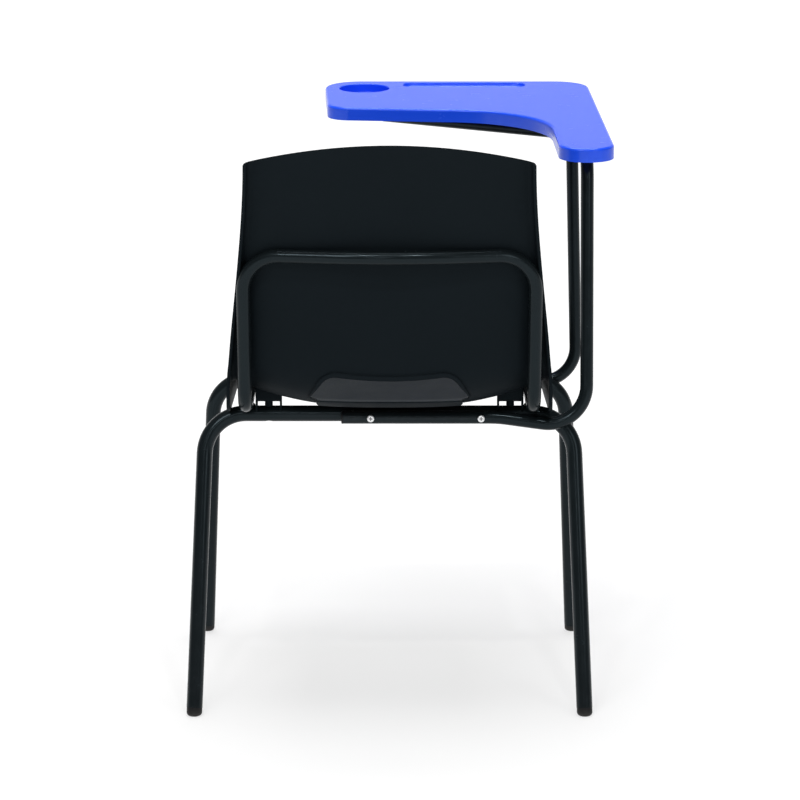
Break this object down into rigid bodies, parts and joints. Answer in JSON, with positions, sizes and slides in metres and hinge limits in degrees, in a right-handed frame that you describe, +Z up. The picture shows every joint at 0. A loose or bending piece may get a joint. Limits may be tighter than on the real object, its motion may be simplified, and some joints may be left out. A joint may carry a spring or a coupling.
{
  "type": "student desk chair",
  "caption": "Tube-frame student chair with a one-piece slotted plastic shell and a fixed writing tablet on a bolted arm loop at the sitter's right.",
  "frame": {"origin": "centre of the bounding box's footprint, at floor level", "axes": "+Z up, the sitter faces -Y, +X is the sitter's left; the tablet is on -X and the rear legs are on +Y"},
  "size_m": [0.5934, 0.6506, 0.82],
  "materials": {
    "frame_black": "gloss black powder coat",
    "cap_black": "black moulded polyethylene",
    "shell_black": "matte, fine grain",
    "tablet_blue": "satin-gloss saturated blue",
    "zinc": "bright zinc plate"
  },
  "bodies": {
    "root": {"rear_leg_frame": "frame_black", "front_leg_frame": "frame_black", "back_loop": "frame_black", "arm_loop": "frame_black", "tablet_brace": "frame_black", "rear_rail_welds": "frame_black", "front_rail_welds": "frame_black", "brace_welds": "frame_black", "rear_left_foot_cap": "cap_black", "rear_right_foot_cap": "cap_black", "front_left_foot_cap": "cap_black", "front_right_foot_cap": "cap_black", "left_rail_plug": "cap_black", "right_rail_plug": "cap_black", "rear_arm_plug": "cap_black", "front_arm_plug": "cap_black", "brace_end_plug": "cap_black", "seat_shell": "shell_black", "writing_tablet": "tablet_blue", "rear_arm_bolts": "zinc", "front_arm_bolts": "zinc", "arm_bolt_nuts": "zinc", "tablet_screws": "zinc", "rear_seat_screws": "zinc", "front_seat_screws": "zinc"}
  },
  "joints": []
}
